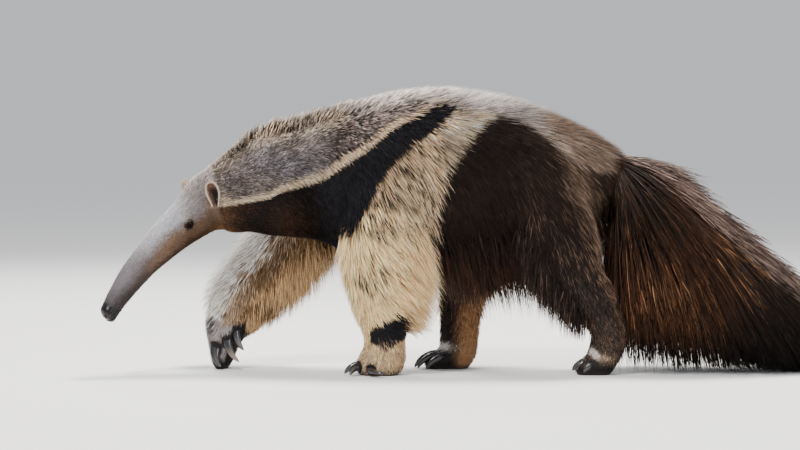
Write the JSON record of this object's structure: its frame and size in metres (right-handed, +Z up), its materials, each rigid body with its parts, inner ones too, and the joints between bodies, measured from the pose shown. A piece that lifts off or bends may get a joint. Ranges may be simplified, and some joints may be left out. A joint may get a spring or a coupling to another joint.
{
  "type": "giant anteater",
  "caption": "Giant anteater as a still, life-size museum model: walking pose, long tube-shaped head lowered to the left, long curved foreclaws, deep bushy tail.",
  "frame": {"origin": "on the floor, under the middle of the overall length and width", "axes": "+X toward the tail tip, so the animal walks toward -X; +Y to its right side; +Z up"},
  "size_m": [1.8881, 0.3484, 0.6145],
  "materials": {
    "coat_grey": "coarse grizzled hair",
    "coat_brown": "long coarse dark hair",
    "coat_cream": "short pale hair",
    "face_skin": "short flat hair over skin",
    "nose_skin": "moist bare skin",
    "claw_horn": "polished horn",
    "eye_glass": "glossy glass eye",
    "ear_skin": "thin skin with fine hair"
  },
  "bodies": {
    "root": {"head": "face_skin", "nose": "nose_skin", "neck": "coat_grey", "trunk": "coat_grey", "tail": "coat_brown", "foreleg_left": "coat_cream", "foreleg_right": "coat_cream", "hindleg_left": "coat_brown", "hindleg_right": "coat_brown", "hand_left": "coat_cream", "hand_right": "coat_cream", "foot_left": "coat_brown", "foot_right": "coat_brown", "ear_left": "ear_skin", "ear_right": "ear_skin", "eye_left": "eye_glass", "eye_right": "eye_glass", "claw_hand_left_1": "claw_horn", "claw_hand_left_2": "claw_horn", "claw_hand_left_3": "claw_horn", "claw_hand_left_4": "claw_horn", "claw_hand_right_1": "claw_horn", "claw_hand_right_2": "claw_horn", "claw_hand_right_3": "claw_horn", "claw_hand_right_4": "claw_horn", "claw_foot_left_1": "claw_horn", "claw_foot_left_2": "claw_horn", "claw_foot_left_3": "claw_horn", "claw_foot_left_4": "claw_horn", "claw_foot_left_5": "claw_horn", "claw_foot_right_1": "claw_horn", "claw_foot_right_2": "claw_horn", "claw_foot_right_3": "claw_horn", "claw_foot_right_4": "claw_horn", "claw_foot_right_5": "claw_horn"}
  },
  "joints": []
}
